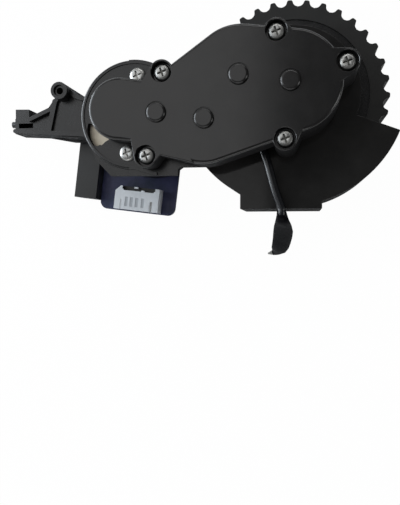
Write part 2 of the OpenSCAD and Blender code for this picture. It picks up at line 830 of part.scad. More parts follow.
// header with its mouth at the edge of the board and two slots over the legs of its pins
module board_connector() {
    hole = pin_w + 2 * fit;
    color("white") board_place(board_top) translate([conn_mid - conn_w / 2, conn_back - conn_d, 0]) difference() {
        linear_extrude(conn_h) polygon([[0, 0], [conn_w, 0], [conn_w, conn_d], [conn_cut, conn_d], [0, conn_d - conn_cut]]);
        translate([conn_wall, -e, conn_wall]) cube([conn_w - 2 * conn_wall, conn_deep, conn_h - 2 * conn_wall]);
        for (x = [[3.2, 7], [11.6, 3.6]]) translate([x[0], conn_d - 1.6, conn_h - 2]) cube([x[1], 0.95, 2 + e]);
        for (i = [0 : ways - 1]) translate([conn_w / 2 + way(i) - hole / 2, 0, 0]) {
            translate([0, conn_deep - 2 * e, conn_h / 2 - hole / 2])
                cube([hole, conn_d - leg_in + hole / 2 - conn_deep + 2 * e, hole]);
            translate([0, conn_d - leg_in - hole / 2, -e]) cube([hole, hole, conn_h / 2 + hole / 2 + e]);
        }
        for (x = [2.4, conn_w - 3.4]) translate([x, -e, conn_h - 2]) cube([1, 4, 3]);
    }
}

module connector_pins() {
    color("gold") board_place() for (i = [0 : ways - 1]) {
        z = board_top + conn_h / 2 - pin_w / 2;
        translate([conn_mid + way(i) - pin_w / 2, 0, 0]) {
            translate([0, conn_back - 7.4, z]) cube([pin_w, 7.4 - leg_in + pin_w / 2, pin_w]);
            translate([0, conn_back - leg_in - pin_w / 2, leg_z]) cube([pin_w, pin_w, z - leg_z + e]);
        }
    }
}

// low black cover at the end of the motor, with the box beside the board
box_w = 9;
box_gap = 0.2;
box_h = bell_z + 1;
box_l = 37;
box_low = -29.2;
board_left = board_right - board_w;
module end_cover() {
    color([0.12, 0.12, 0.13]) board_place() difference() {
        union() {
            ring(disc_r, can_d / 2 + 0.1, board_top, can_z - board_top);
            translate([board_left - box_w, box_low, 0]) cube([box_w - box_gap, box_l, box_h]);
            difference() {
                translate([board_left - 1, -12, board_top]) cube([6, 18, box_h - board_top]);
                disc(can_d / 2 + 0.1, board_top - e, 20);
            }
            for (p = board_posts) disc(2.1, board_top, post_h, p);
        }
        for (p = board_posts) disc(1, board_top - e, post_h - post_end + e, p);
        translate([board_left - box_w + rib_t, box_low + rib_t, -e])
            cube([box_w - box_gap - 2 * rib_t, box_l - 2 * rib_t, box_h - rib_t]);
    }
}

// WHEEL GUARD
guard_r = tyre_d / 2 + guard_room + guard_t;
guard_up = 0.5;
guard_at = at_wheel + [-0.1, guard_up];
pad_right = 10.5;
pad_y = guard_r - guard_up + pad_out;
pad_h = 12;
module guard_sector(r) {
    // wedge between the two ends of the guard
    mid = (guard_from + guard_to) / 2;
    polygon(concat([[0, 0]], [for (a = [guard_from, (guard_from + mid) / 2, mid, (guard_to + mid) / 2, guard_to])
        polar(r * 1.3, a)]));
}

module wheel_guard() {
    color([0.09, 0.09, 0.09]) difference() {
        union() {
            at(guard_at, guard_z) linear_extrude(floor_z - guard_z) intersection() {
                circle(r = guard_r);
                guard_sector(guard_r);
            }
            at(at_wheel, guard_z) translate([pad_right - pad_w, -pad_y, 0]) cube([pad_w, pad_h, floor_z - guard_z]);
            translate([0, 0, plate_z]) linear_extrude(plate_t) {
                translate(at_wheel) circle(r = plate_r);
                wheel_lobes();
            }
        }
        disc(guard_r - guard_t, guard_z - e, plate_z - guard_z + e, guard_at);
        disc(bush_boss_r + 0.3, plate_z - e, 5, at_wheel);
        for (i = [2 : 4]) disc(1.5, plate_z - e, 5, screw_at[i]);
    }
}

module guard_screws() {
    color("silver") for (i = [2 : 4]) at(screw_at[i], plate_z)
        rotate([180, 0, 0]) pan_screw([0, 0], 0, 2.2, 1.2, screw_r, 5.6);
}

// WHEEL
module tyre() {
    r = tyre_d / 2;
    color([0.06, 0.06, 0.06]) at(at_wheel) difference() {
        rotate_extrude() polygon([[rim_r, 0.6], [r - shoulder - 1, 0], [r - shoulder, 0], [r, shoulder],
            [r, tyre_w - shoulder], [r - shoulder, tyre_w], [r - shoulder - 1, tyre_w], [rim_r, tyre_w - 0.6]]);
        for (i = [0 : lug_count - 1]) disc(lug_gap_r, -e, tyre_w + 2 * e,
            polar(r - lug_gap_in, lug_turn + (i + 0.5) * 360 / lug_count));
    }
}

module wheel_hub() {
    color([0.16, 0.16, 0.17]) at(at_wheel) difference() {
        union() {
            ring(rim_r, rim_inside, 0.6, tyre_w - 1.2);
            disc(rim_inside + e, hub_face_z, web_t);
            disc(hub_boss_r, hub_face_z, tyre_w - 0.2 - hub_face_z);
            ring(rim_r - 6, rim_r - 7.4, hub_face_z - 0.8, 1);
            ring(ring_rib_r + ring_rib_t / 2, ring_rib_r - ring_rib_t / 2, spoke_z, spoke_top - spoke_z);
            for (i = [0 : spokes - 1]) rotate([0, 0, i * 360 / spokes])
                translate([hub_boss_r - 1, -spoke_t / 2, spoke_z])
                    cube([rim_inside - hub_boss_r + 1.2, spoke_t, spoke_top - spoke_z]);
        }
        translate([0, 0, washer_z + washer_t - e]) linear_extrude(flat_h) flat_shaft(axle_r + fit);
        disc(axle_r + 0.1, washer_z + washer_t + flat_h - 2 * e, tyre_w);
        disc(cap_skirt_r + fit, hub_face_z - e, washer_z + washer_t - hub_face_z + e);
    }
}

module hub_washer() {
    color("silver") ring(4.6, 1.5, washer_z, washer_t, at_wheel);
}

module hub_screw() {
    color("silver") at(at_wheel, washer_z) rotate([180, 0, 0]) pan_screw([0, 0], 0, 2.7, 1.5, screw_r - fit, 7);
}

module hub_cap() {
    color([0.1, 0.1, 0.1]) {
        disc(cap_skirt_r + 2.4, hub_face_z - cap_t, cap_t, at_wheel);
        ring(cap_skirt_r, cap_skirt_r - 0.8, hub_face_z - e, 1.8, at_wheel);
    }
}

// LEAD
lead_out = at_wheel + [-10.9, -14.5];
lead_dir = 288.3;
lead_inside = 6;
lead_z = floor_z + lead_d / 2;

// route of the lead from the gearbox over the guard, then rings of its flat sleeve down to the table
lead_xy = [[71.05, -14.2], [71.85, -16.6], [72.6, -18.9], [73.4, -21.4], [74.4, -24.3], [75.4, -27.2],
    [76.2, -30.1], [77, -33], [77.8, -36], [78.7, -38.8], [79.6, -41.2], [80.2, -42.9], [80.4, -43.6],
    [80.4, -44]];
sleeve_route = [[80.4, -44.05, lead_z], [80.4, -44.4, lead_z], [80.55, -45.6, lead_z],
    [80.6, -46.7, 27.4], [80.65, -47.6, 26.3], [80.7, -48.3, 24.6], [80.7, -49.3, 22], [80.7, -51.3, 18],
    [80.4, -53.3, 14], [79.9, -55.4, 10.2], [79.3, -57.3, 7], [78.6, -58.5, 4.2], [77.4, -59, 2],
    [76.6, -59.17, 1], [76.2, -59.24, 0.9]];
sleeve_half_w = [1.55, 1.6, 1.8, 2.1, 2.4, 2.7, 3.1, 3.5, 3.5, 3.4, 3.2, 2.6, 1.7, 1.1, 1];
sleeve_half_t = [1.4, 1.4, 1.35, 1.3, 1.2, 1.1, 1, 0.95, 0.9, 0.9, 0.85, 0.8, 0.8, 0.75, 0.7];
sleeve_across = [180, 180, 180, 180, 180, 180, 180, 180, 180, 180, 176, 163, 142, 106, 100];

function unit(v) = v / norm(v);
function along(path, i) = unit(path[min(i + 1, len(path) - 1)] - path[max(i - 1, 0)]);
function tube_points(path, wide, thick, across, sides) = [for (i = [0 : len(path) - 1])
    let (s = [cos(across[i]), sin(across[i]), 0], u = unit(cross(s, along(path, i))))
    for (k = [0 : sides - 1])
        path[i] + wide[i] * cos(k * 360 / sides) * s + thick[i] * sin(k * 360 / sides) * u];
function tube_faces(rings, sides) = concat(
    [[for (k = [0 : sides - 1]) k]],
    [for (i = [0 : rings - 2], k = [0 : sides - 1])
        [i * sides + k, (i + 1) * sides + k, (i + 1) * sides + (k + 1) % sides, i * sides + (k + 1) % sides]],
    [[for (k = [sides - 1 : -1 : 0]) (rings - 1) * sides + k]]);

module tube(path, wide, thick, across) {
    polyhedron(tube_points(path, wide, thick, across, 8), tube_faces(len(path), 8));
}

module lead() {
    route = [for (p = lead_xy) [p[0], p[1], lead_z]];
    half = [for (p = route) lead_d / 2];
    across = [for (i = [0 : len(route) - 1]) let (t = along(route, i)) atan2(-t[0], t[1])];
    color([0.08, 0.08, 0.08]) tube(route, half, half, across);
}

// flat sleeve that widens like a leaf at the end of the lead
module lead_sleeve() {
    color([0.08, 0.08, 0.08]) tube(sleeve_route, sleeve_half_w, sleeve_half_t, sleeve_across);
}

module lead_tip() {
    tip = sleeve_route[len(sleeve_route) - 1];
    color("silver") translate(tip) rotate([0, 0, 190]) translate([e, 0, -0.4]) linear_extrude(0.8)
        polygon([[0, -0.9], [1.6, -0.25], [1.9, 0.1], [1.6, 0.4], [0, 0.9]]);
}

gearbox_base();
gearbox_cover();
cover_screws();
gear_pins();
axle_bush();
cover_bush();
output_axle();
output_gear();
axle_clip();
compound_gear_3();
compound_gear_2();
compound_gear_1();
motor_can();
motor_magnets();
motor_bushes();
motor_screws();
motor_end_bell();
motor_terminals();
motor_shaft();
motor_armature();
motor_pinion();
encoder_magnet();
end_cover();
encoder_board();
board_screws();
hall_sensor();
board_connector();
connector_pins();
wheel_guard();
guard_screws();
wheel_hub();
tyre();
hub_washer();
hub_screw();
hub_cap();
lead();
lead_sleeve();
lead_tip();
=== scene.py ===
import json
import math
import bpy
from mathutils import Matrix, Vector

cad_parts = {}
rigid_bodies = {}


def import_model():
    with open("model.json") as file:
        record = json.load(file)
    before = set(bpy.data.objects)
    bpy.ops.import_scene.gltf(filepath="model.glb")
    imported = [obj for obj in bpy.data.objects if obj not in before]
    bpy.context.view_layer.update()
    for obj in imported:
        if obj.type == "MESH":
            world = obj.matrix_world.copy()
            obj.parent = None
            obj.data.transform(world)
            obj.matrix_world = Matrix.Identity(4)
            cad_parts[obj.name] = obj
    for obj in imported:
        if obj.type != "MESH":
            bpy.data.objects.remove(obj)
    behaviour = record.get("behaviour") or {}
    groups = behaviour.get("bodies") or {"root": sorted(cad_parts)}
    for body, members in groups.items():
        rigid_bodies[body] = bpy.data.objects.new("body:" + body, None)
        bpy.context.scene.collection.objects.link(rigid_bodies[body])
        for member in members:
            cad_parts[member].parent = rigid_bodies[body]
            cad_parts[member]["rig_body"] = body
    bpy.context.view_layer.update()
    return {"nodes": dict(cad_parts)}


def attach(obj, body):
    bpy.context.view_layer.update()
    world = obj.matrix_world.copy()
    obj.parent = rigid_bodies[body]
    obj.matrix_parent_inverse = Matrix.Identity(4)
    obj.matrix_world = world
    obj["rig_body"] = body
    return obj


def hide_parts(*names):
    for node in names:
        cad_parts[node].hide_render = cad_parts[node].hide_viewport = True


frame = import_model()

mm = 0.001
shapeValues = {  # what several pieces share, in mm and degrees
    "merge": 0.004,  # corners nearer than this are joined
    "flatAngle": 0.6,  # faces that lean less than this to each other are one
    "bevelAngle": 35,
    "discBevelAngle": 60,
    "roundSegments": 6,
    "smoothAngle": 40,
    "flatWeight": 80,
    "discSides": 192,
    "clear": 1.0,  # how far a cutting tool reaches past what it cuts
    "topNormal": 0.9,  # upward share of the normal from which a face is a top
    "wallNormal": 0.12,  # upward share of the normal up to which a face is a wall
}
centres = {"wheel": (83.5, -4.4), "motor": (30.740, -11.887)}
nodes = frame["nodes"]
bodyOf = {name: node["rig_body"] for name, node in nodes.items()}
print("frame loaded:", len(nodes), "nodes")


def deselectAll():
    bpy.ops.object.select_all(action="DESELECT")


def pick(piece):
    deselectAll()
    piece.select_set(True)
    bpy.context.view_layer.objects.active = piece


def metres(point):
    return tuple(value * mm for value in point)


# camera
cameraValues = {
    "place": (86.64, -52.11, 234.0),
    "turn": (-1.766, 9.458, 0.0),  # degrees, XYZ
    "lens": 42.77,
    "sensor": 36.0,
    "nearest": 5.0,  # mm, nothing nearer is drawn
}
deselectAll()
bpy.ops.object.camera_add(location=metres(cameraValues["place"]))
camera = bpy.context.object
camera.name = "photoCamera"
camera.rotation_euler = [math.radians(angle) for angle in cameraValues["turn"]]
camera.data.lens = cameraValues["lens"]
camera.data.sensor_width = cameraValues["sensor"]
camera.data.clip_start = cameraValues["nearest"] * mm
bpy.context.scene.camera = camera
bpy.context.scene.view_settings.view_transform = "Standard"
print("camera placed")


# materials: every finish is built from the same few steps
def nodeOf(tree, kind, **values):
    made = tree.nodes.new(kind)
    for key, value in values.items():
        setattr(made, key, value)
    return made


def noiseAt(tree, coords, scale, detail=4.0, roughness=0.55):
    noise = nodeOf(tree, "ShaderNodeTexNoise")
    noise.inputs["Scale"].default_value = scale
    noise.inputs["Detail"].default_value = detail
    noise.inputs["Roughness"].default_value = roughness
    tree.links.new(coords, noise.inputs["Vector"])
    return noise.outputs["Fac"]


def spread(tree, factor, low, high, fromLow=0.3, fromHigh=0.7):
    ranged = nodeOf(tree, "ShaderNodeMapRange")
    for socket, value in (("From Min", fromLow), ("From Max", fromHigh), ("To Min", low), ("To Max", high)):
        ranged.inputs[socket].default_value = value
    tree.links.new(factor, ranged.inputs["Value"])
    return ranged.outputs["Result"]


def mathOf(tree, operation, first, second):
    step = nodeOf(tree, "ShaderNodeMath", operation=operation)
    for socket, value in ((0, first), (1, second)):
        if hasattr(value, "is_linked"):
            tree.links.new(value, step.inputs[socket])
        else:
            step.inputs[socket].default_value = value
    return step.outputs[0]


def mixColours(tree, factor, first, second):
    mixed = nodeOf(tree, "ShaderNodeMix", data_type="RGBA")
    for socket, value in ((6, first), (7, second)):
        if hasattr(value, "is_linked"):
            tree.links.new(value, mixed.inputs[socket])
        else:
            mixed.inputs[socket].default_value = (*value, 1.0)
    tree.links.new(factor, mixed.inputs[0])
    return mixed.outputs[2]


usualLook = {
    "cloudScale": 120.0,
    "wear": 0.35,
    "wearWidth": 0.25,  # mm
    "wearScale": 900.0,
    "wearPatches": (0.4, 0.65),
    "edgeSharpness": (0.86, 0.99),
    "patchScale": 260.0,
    "grain": 0.1,
    "grainDepth": 0.02,  # mm
    "grainScale": 2500.0,
    "waveScale": 60.0,
    "metal": 0.0,
    "specular": 0.5,
}


def finish(name, ownLook):
    # colour clouds, worn edges, roughness patches and a moulded grain, on Object coordinates
    look = {**usualLook, **ownLook}
    material = bpy.data.materials.new(name)
    material.use_nodes = True
    tree = material.node_tree
    shader = tree.nodes["Principled BSDF"]
    coords = nodeOf(tree, "ShaderNodeTexCoord").outputs["Object"]
    clouds = noiseAt(tree, coords, look["cloudScale"])
    colour = mixColours(tree, spread(tree, clouds, 0.0, 1.0), look["colour"], look["second"])
    if "worn" in look:
        rounded = nodeOf(tree, "ShaderNodeBevel", samples=4)
        rounded.inputs["Radius"].default_value = look["wearWidth"] * mm
        across = nodeOf(tree, "ShaderNodeVectorMath", operation="DOT_PRODUCT")
        tree.links.new(rounded.outputs["Normal"], across.inputs[0])
        tree.links.new(nodeOf(tree, "ShaderNodeNewGeometry").outputs["Normal"], across.inputs[1])
        edge = spread(tree, across.outputs["Value"], 1.0, 0.0, *look["edgeSharpness"])
        patch = noiseAt(tree, coords, look["wearScale"], 6.0)
        both = mathOf(tree, "MULTIPLY", edge, spread(tree, patch, 0.0, look["wear"], *look["wearPatches"]))
        colour = mixColours(tree, both, colour, look["worn"])
    tree.links.new(colour, shader.inputs["Base Color"])
    patches = noiseAt(tree, coords, look["patchScale"], 5.0)
    low, high = look["rough"]
    tree.links.new(spread(tree, patches, low, high), shader.inputs["Roughness"])
    height = noiseAt(tree, coords, look["grainScale"], 3.0)
    if "waves" in look:  # slow unevenness of a moulded or sheared face
        slow = noiseAt(tree, coords, look["waveScale"], 2.0)
        height = mathOf(tree, "ADD", height, mathOf(tree, "MULTIPLY", slow, look["waves"]))
    bump = nodeOf(tree, "ShaderNodeBump")
    bump.inputs["Strength"].default_value = look["grain"]
    bump.inputs["Distance"].default_value = look["grainDepth"] * mm
    tree.links.new(height, bump.inputs["Height"])
    tree.links.new(bump.outputs["Normal"], shader.inputs["Normal"])
    shader.inputs["Metallic"].default_value = look["metal"]
    shader.inputs["Specular IOR Level"].default_value = look["specular"]
    return material


looks = {
    "coverPlastic": {"colour": (0.008, 0.008, 0.008), "second": (0.011, 0.0105, 0.0105),
                     "worn": (0.06, 0.06, 0.06), "rough": (0.17, 0.22), "grain": 0.1, "grainDepth": 0.012,
                     "grainScale": 1800.0, "waves": 10.0},
    "basePlastic": {"colour": (0.008, 0.008, 0.0085), "second": (0.011, 0.011, 0.0115),
                    "worn": (0.06, 0.06, 0.06), "rough": (0.2, 0.3), "specular": 0.46, "grain": 0.12,
                    "grainDepth": 0.02},
    "guardPlastic": {"colour": (0.014, 0.0138, 0.0135), "second": (0.021, 0.0205, 0.02),
                     "worn": (0.05, 0.05, 0.05), "rough": (0.06, 0.11), "specular": 0.18, "grain": 0.12,
                     "grainDepth": 0.02, "grainScale": 700.0, "waves": 8.0},
    "boxPlastic": {"colour": (0.010, 0.010, 0.010), "second": (0.014, 0.014, 0.014),
                   "worn": (0.06, 0.06, 0.06), "rough": (0.3, 0.4), "specular": 0.42, "grain": 0.2,
                   "grainDepth": 0.02},
    "rubber": {"colour": (0.007, 0.007, 0.007), "second": (0.011, 0.011, 0.010), "worn": (0.03, 0.03, 0.03),
               "rough": (0.42, 0.6), "grain": 0.3, "grainDepth": 0.04, "specular": 0.4},
    "leadJacket": {"colour": (0.006, 0.007, 0.009), "second": (0.009, 0.010, 0.012),
                   "rough": (0.16, 0.26), "grain": 0.15},
    "sleeveSkin": {"colour": (0.002, 0.002, 0.003), "second": (0.004, 0.004, 0.005),
                   "rough": (0.22, 0.34), "specular": 0.03, "grain": 0.15},
    # painted shade: a darker, matte copy of the plastics for upright walls
    "wallPaintedShade": {"colour": (0.007, 0.007, 0.0075), "second": (0.010, 0.010, 0.0105), "rough": (0.6, 0.75),
                    "specular": 0.12, "grain": 0.2, "grainDepth": 0.02},
    "zinc": {"colour": (0.5, 0.5, 0.48), "second": (0.36, 0.36, 0.35), "worn": (0.72, 0.72, 0.7),
             "rough": (0.3, 0.46), "metal": 1.0, "grain": 0.3, "grainScale": 4000.0},
    "zincTop": {"colour": (0.22, 0.215, 0.2), "second": (0.13, 0.13, 0.12), "rough": (0.4, 0.6), "metal": 1.0,
                "grain": 0.5, "grainScale": 4000.0, "cloudScale": 900.0},
    "steel": {"colour": (0.6, 0.6, 0.61), "second": (0.5, 0.5, 0.51), "rough": (0.14, 0.26), "metal": 1.0},
    "canSteel": {"colour": (0.62, 0.56, 0.46), "second": (0.5, 0.45, 0.36), "rough": (0.34, 0.5),
                 "metal": 0.6},
    "bronze": {"colour": (0.45, 0.27, 0.13), "second": (0.33, 0.2, 0.1), "rough": (0.35, 0.5), "metal": 1.0,
               "grain": 0.5},
    "brass": {"colour": (0.7, 0.5, 0.2), "second": (0.6, 0.42, 0.17), "rough": (0.22, 0.34), "metal": 1.0},
    "acetal": {"colour": (0.72, 0.7, 0.62), "second": (0.66, 0.63, 0.55), "rough": (0.3, 0.42)},
    "ferrite": {"colour": (0.03, 0.03, 0.032), "second": (0.045, 0.045, 0.048), "rough": (0.45, 0.6)},
    "winding": {"colour": (0.42, 0.14, 0.045), "second": (0.3, 0.09, 0.03), "rough": (0.25, 0.4),
                "metal": 0.6},
    "boardMask": {"colour": (0.018, 0.026, 0.055), "second": (0.048, 0.05, 0.115), "worn": (0.1, 0.12, 0.2),
                  "rough": (0.3, 0.45), "specular": 0.25, "cloudScale": 170.0},
    "chip": {"colour": (0.012, 0.012, 0.012), "second": (0.018, 0.018, 0.018), "rough": (0.4, 0.5)},
    # painted shade: grey for the floors of the header's shallow windows
    "nylonPaintedShade": {"colour": (0.42, 0.45, 0.48), "second": (0.36, 0.38, 0.41), "rough": (0.4, 0.5)},
    "nylon": {"colour": (0.66, 0.69, 0.72), "second": (0.56, 0.59, 0.62), "worn": (0.78, 0.8, 0.84),
              "rough": (0.32, 0.42)},
}
finishes = {name: finish(name, look) for name, look in looks.items()}
print("finishes made:", len(finishes))


# lead: it leaves the gearbox, lies over the guard and goes into its flat sleeve past the pad
leadValues = {
    "route": [(71.05, -14.2, 27.85), (71.85, -16.6, 27.85), (72.6, -18.9, 27.85), (73.4, -21.4, 27.85),
              (74.4, -24.3, 27.85), (75.4, -27.2, 27.85), (76.2, -30.1, 27.85), (77, -33, 27.85),
              (77.8, -36, 27.85), (78.7, -38.8, 27.85), (79.6, -41.2, 27.85), (80.2, -42.9, 27.85),
              (80.4, -43.6, 27.85), (80.4, -44, 27.85), (80.45, -44.7, 27.85), (80.55, -45.6, 27.75)],
    "diameter": 2.9,
    "length": 0.0329,
    "stepsAlong": 6,
    "stepsRound": 5,
}


def makeLead():
    route = [metres(point) for point in leadValues["route"]]
    deselectAll()
    curve = bpy.data.curves.new("leadLine", "CURVE")
    curve.dimensions = "3D"
    spline = curve.splines.new("BEZIER")
    spline.bezier_points.add(len(route) - 1)
    for knot, point in zip(spline.bezier_points, route):
        knot.co = point
        knot.handle_left_type = knot.handle_right_type = "AUTO"
    curve.resolution_u = leadValues["stepsAlong"]
    curve.bevel_depth = leadValues["diameter"] / 2 * mm
    curve.bevel_resolution = leadValues["stepsRound"]
    curve.use_fill_caps = True
    lead = bpy.data.objects.new("leadJacket", curve)
    bpy.context.collection.objects.link(lead)
    lead.data.materials.append(finishes["leadJacket"])
    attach(lead, bodyOf["lead"])
    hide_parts("lead")
    return lead


lead = makeLead()
print("lead laid")


def copyNode(name):
    # own copy of a CAD node, with its loose triangles merged and its flat faces joined
    source = nodes[name]
    piece = bpy.data.objects.new(name + "_piece", source.data.copy())
    bpy.context.collection.objects.link(piece)
    piece.data.materials.clear()
    pick(piece)
    if piece.data.has_custom_normals:
        bpy.ops.mesh.customdata_custom_splitnormals_clear()
    bpy.ops.object.mode_set(mode="EDIT")
    bpy.ops.mesh.select_all(action="SELECT")
    bpy.ops.mesh.remove_doubles(threshold=shapeValues["merge"] * mm)
    bpy.ops.mesh.dissolve_limited(angle_limit=math.radians(shapeValues["flatAngle"]))
    bpy.ops.object.mode_set(mode="OBJECT")
    return piece


def roundEdges(piece, width, segments=2, angle=shapeValues["bevelAngle"]):
    pick(piece)
    bevel = piece.modifiers.new("edges", "BEVEL")
    bevel.width = width * mm
    bevel.segments = segments
    bevel.limit_method = "ANGLE"
    bevel.angle_limit = math.radians(angle)
    bevel.use_clamp_overlap = True
    bevel.miter_outer = "MITER_ARC"
    bpy.ops.object.modifier_apply(modifier=bevel.name)


def cutWith(piece, tool, operation):
    # boolean step, after which the tool is gone
    pick(piece)
    step = piece.modifiers.new("cut", "BOOLEAN")
    step.operation = operation
    step.solver = "MANIFOLD"
    step.object = tool
    bpy.ops.object.modifier_apply(modifier=step.name)
    bpy.data.objects.remove(tool, do_unlink=True)


def smooth(piece):
    # smooth edges, with the large flat faces kept flat by weighted normals
    pick(piece)
    bpy.ops.object.shade_smooth_by_angle(angle=math.radians(shapeValues["smoothAngle"]))
    weighted = piece.modifiers.new("flatFaces", "WEIGHTED_NORMAL")
    weighted.keep_sharp = True
    weighted.weight = shapeValues["flatWeight"]
    bpy.ops.object.modifier_apply(modifier=weighted.name)


def seat(piece, name, material):
    smooth(piece)
    piece.data.materials.clear()
    piece.data.materials.append(finishes[material])
    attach(piece, bodyOf[name])
    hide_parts(name)
    return piece


def dress(name, material, width=0.0, segments=2):
    piece = copyNode(name)
    if width:
        roundEdges(piece, width, segments)
    return seat(piece, name, material)


# cover: its CAD shape cut by an envelope of rounded discs and webs, and flared at the counterbores
coverValues = {
    "low": 33.0,
    "top": 44.4,
    "over": 0.008,  # how far the envelope stands off the CAD faces
    "edgeRadius": 1.2,
    "lobeEdge": 0.3,
    "capEdge": 0.85,
    "capGroove": (3.25, 3.6, 44.1),  # inner and outer radius and floor
    "capLow": 34.0,
    "capTop": 45.4,
    "capRadius": 3.2,
    "caps": ("wheel", "third", "second", "first"),
    "flare": 0.16,
    "flareInset": 0.05,
    "flareSides": 96,
    "counterbore": 3.4,
    "bays": {"wheel": (centres["wheel"], 16.3), "third": ((67.302, -1.834), 15.98),
             "second": ((56.258, -15.280), 14.45), "first": ((40.689, -12.898), 9.8),
             "nose": ((27.890, -11.187), 10.2)},
    "webs": [("wheel", "third"), ("third", "second"), ("second", "first"), ("first", "nose"),
             ("wheel", "second"), ("third", "first")],
    "lobeRadius": 3.9,
    "lobes": [((42.341, 0.126), "first", 9.8), ((36.992, -26.615), "first", 9.8),
              ((78.999, 11.297), "wheel", 10.0), ((100.809, 0.892), "wheel", 10.0),
              ((81.911, -22.199), "wheel", 10.0)],
    # the wall from the lower screw to the second bay: its start, radius and foot, the flat middle of its
    # end, how far it stays under the top, and the bay that is kept open in it
    "fill": ((41.9, -25.6), 1.04, 36.42),
    "fillFlat": 0.1,
    "fillUnder": 0.001,
    "bayWall": 1.0,
    "bayHalf": 20.0,
    "baySides": 128,
}


def plainDisc(centre, radius, low, top, sides=shapeValues["discSides"]):
    deselectAll()
    bpy.ops.mesh.primitive_cylinder_add(vertices=sides, radius=radius * mm, depth=(top - low) * mm,
                                        location=metres((*centre, (top + low) / 2)))
    disc = bpy.context.object
    bpy.ops.object.transform_apply(location=True, rotation=True, scale=True)
    return disc


def roundedDisc(centre, radius, low, top, edge):
    disc = plainDisc(centre, radius, low, top)
    roundEdges(disc, edge, shapeValues["roundSegments"], shapeValues["discBevelAngle"])
    return disc


def ring(centre, inner, outer, low, top):
    clear = shapeValues["clear"]
    hoop = plainDisc(centre, outer, low, top)
    cutWith(hoop, plainDisc(centre, inner, low - clear, top + clear), "DIFFERENCE")
    return hoop


def roundedWeb(first, firstRadius, second, secondRadius, low, top, edge):
    # straight-sided block between the outer tangents of two discs, rounded along its two long top edges
    way = Vector(second) - Vector(first)
    along = math.atan2(way.y, way.x)
    lean = math.acos((firstRadius - secondRadius) / way.length)
    corners = []
    for centre, radius in ((first, firstRadius), (second, secondRadius)):
        for side in (1, -1):
            turn = along + side * lean
            corners.append((centre[0] + radius * math.cos(turn), centre[1] + radius * math.sin(turn)))
    deselectAll()
    bpy.ops.mesh.primitive_cube_add(size=2 * mm)
    web = bpy.context.object
    weights = web.data.attributes.new("bevel_weight_edge", "FLOAT", "EDGE")
    places = {}
    for vertex in web.data.vertices:
        end, side, level = (value > 0 for value in vertex.co)
        places[vertex.index] = (end, side, level)
        vertex.co = Vector((*corners[2 * end + (not side)], top if level else low)) * mm
    for line in web.data.edges:
        one, two = (places[index] for index in line.vertices)
        weights.data[line.index].value = float(one[2] and two[2] and one[0] != two[0])
    if not edge:
        return web
    pick(web)
    bevel = web.modifiers.new("longEdges", "BEVEL")
    bevel.width = edge * mm
    bevel.segments = shapeValues["roundSegments"]
    bevel.limit_method = "WEIGHT"
    bpy.ops.object.modifier_apply(modifier=bevel.name)
    return web


def coverEnvelope():
    values = coverValues
    low, top, over = values["low"], values["top"] + values["over"], values["over"]
    bays = values["bays"]
    edge = values["edgeRadius"]
    tools = [roundedDisc(centre, radius + over, low, top, edge) for centre, radius in bays.values()]
    for first, second in values["webs"]:
        (start, startRadius), (end, endRadius) = bays[first], bays[second]
        tools.append(roundedWeb(start, startRadius + over, end, endRadius + over, low, top, edge))
    for centre, bay, inner in values["lobes"]:
        tools.append(roundedDisc(centre, values["lobeRadius"] + over, low, top, values["lobeEdge"]))
        tools.append(roundedWeb(centre, values["lobeRadius"] + over, bays[bay][0], inner + over, low, top,
                                values["lobeEdge"]))
    for name in values["caps"]:
        tools.append(roundedDisc(bays[name][0], values["capRadius"] + over, values["capLow"],
                                 values["capTop"] + over, values["capEdge"]))
    start, radius, _ = values["fill"]
    end, endRadius = bays["second"]
    tools.append(roundedDisc(start, radius + over, low, top, radius - values["fillFlat"]))
    tools.append(roundedWeb(start, radius + over, end, endRadius + over, low, top, edge))
    envelope = tools[0]
    for tool in tools[1:]:
        cutWith(envelope, tool, "UNION")
    return envelope


def makeCover():
    values = coverValues
    bays = values["bays"]
    top = values["top"]
    piece = copyNode("gearbox_cover")
    start, radius, foot = values["fill"]
    second, secondRadius = bays["second"]
    under = top - values["fillUnder"]
    wall = roundedWeb(start, radius, second, secondRadius, foot, under, 0.0)
    wallEnd = plainDisc(start, radius, foot, under)
    # the wall stays clear of the gears inside the bay
    half = values["bayHalf"]
    bay = plainDisc(second, secondRadius - values["bayWall"], top - half, top + half, values["baySides"])
    cutWith(wall, bay, "DIFFERENCE")
    cutWith(piece, wall, "UNION")
    cutWith(piece, wallEnd, "UNION")
    cutWith(piece, coverEnvelope(), "INTERSECT")
    reach = values["counterbore"] - values["flareInset"]
    for centre, _, _ in values["lobes"]:
        deselectAll()
        bpy.ops.mesh.primitive_cone_add(vertices=values["flareSides"], radius1=reach * mm,
                                        radius2=(reach + 2 * values["flare"]) * mm,
                                        depth=2 * values["flare"] * mm, location=metres((*centre, top)))
        flare = bpy.context.object
        bpy.ops.object.transform_apply(location=True, rotation=True, scale=True)
        cutWith(piece, flare, "DIFFERENCE")
    inner, outer, floor = values["capGroove"]
    for name in values["caps"]:
        groove = ring(bays[name][0], inner, outer, floor, top + shapeValues["clear"])
        cutWith(piece, groove, "DIFFERENCE")
    return seat(piece, "gearbox_cover", "coverPlastic")


